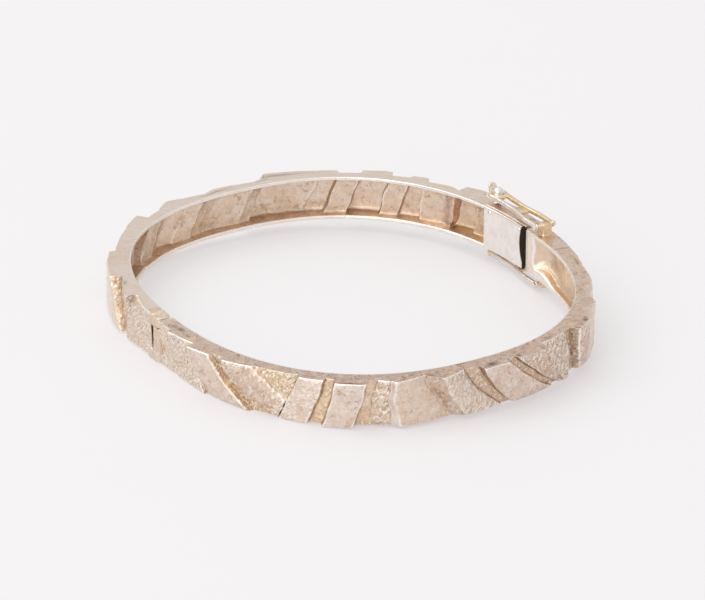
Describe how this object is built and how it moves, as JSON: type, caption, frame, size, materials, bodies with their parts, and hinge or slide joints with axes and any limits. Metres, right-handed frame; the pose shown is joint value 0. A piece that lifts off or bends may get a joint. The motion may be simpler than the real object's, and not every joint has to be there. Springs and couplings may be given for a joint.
{
  "type": "hinged bangle bracelet",
  "caption": "Oval hinged bangle with a carved crag-like relief, a box clasp with a spring tongue and a safety catch on each side face.",
  "frame": {"origin": "centre of the wrist opening, at the middle of the band's height", "axes": "+Z along the axis of the wrist opening, towards the upper safety catch; +X from the hinge to the clasp; +Y towards the half that holds the clasp box"},
  "size_m": [0.058, 0.064, 0.0104],
  "materials": {
    "cast_gilt": "cast silver with a worn, tarnished gold wash",
    "gold_wash": "satin gold wash",
    "wire_gilt": "drawn wire, worn gold wash",
    "worn_silver": "satin silver",
    "polished_silver": "polished silver with fine scratches"
  },
  "bodies": {
    "clasp_half": {"rear_half_hoop": "cast_gilt", "rear_hinge_end": "cast_gilt", "hinge_pin": "worn_silver", "clasp_inner_plate": "polished_silver", "clasp_back_wall": "gold_wash", "clasp_mouth_plate": "worn_silver", "upper_safety_stud": "polished_silver", "lower_safety_stud": "polished_silver"},
    "tongue_half": {"front_half_hoop": "cast_gilt", "front_hinge_end": "cast_gilt", "tongue_end_plate": "worn_silver", "tongue_base_leaf": "worn_silver", "upper_safety_lug": "gold_wash", "upper_safety_pin": "worn_silver", "lower_safety_lug": "gold_wash", "lower_safety_pin": "worn_silver"},
    "spring_leaf": {"tongue_spring_leaf": "worn_silver", "thumb_tab": "cast_gilt"},
    "upper_safety": {"upper_safety_loop": "wire_gilt"},
    "lower_safety": {"lower_safety_loop": "wire_gilt"}
  },
  "joints": [
    {"name": "main_hinge", "type": "hinge", "parent": "clasp_half", "child": "tongue_half", "pos_m": [-0.02642, 0.0009, 0], "axis": [0, 0, -1], "range_deg": [0, 55]},
    {"name": "leaf_press", "type": "hinge", "parent": "tongue_half", "child": "spring_leaf", "pos_m": [0.02624, 0.00684, 0], "axis": [0, 0, -1], "range_deg": [0, 4.8], "stiffness_Nm_per_rad": 0.02},
    {"name": "upper_safety_swing", "type": "hinge", "parent": "tongue_half", "child": "upper_safety", "pos_m": [0.0269, -0.0022, 0.00395], "axis": [1, 0, 0], "range_deg": [0, 120]},
    {"name": "lower_safety_swing", "type": "hinge", "parent": "tongue_half", "child": "lower_safety", "pos_m": [0.0269, -0.0022, -0.00395], "axis": [-1, 0, 0], "range_deg": [0, 120]}
  ]
}
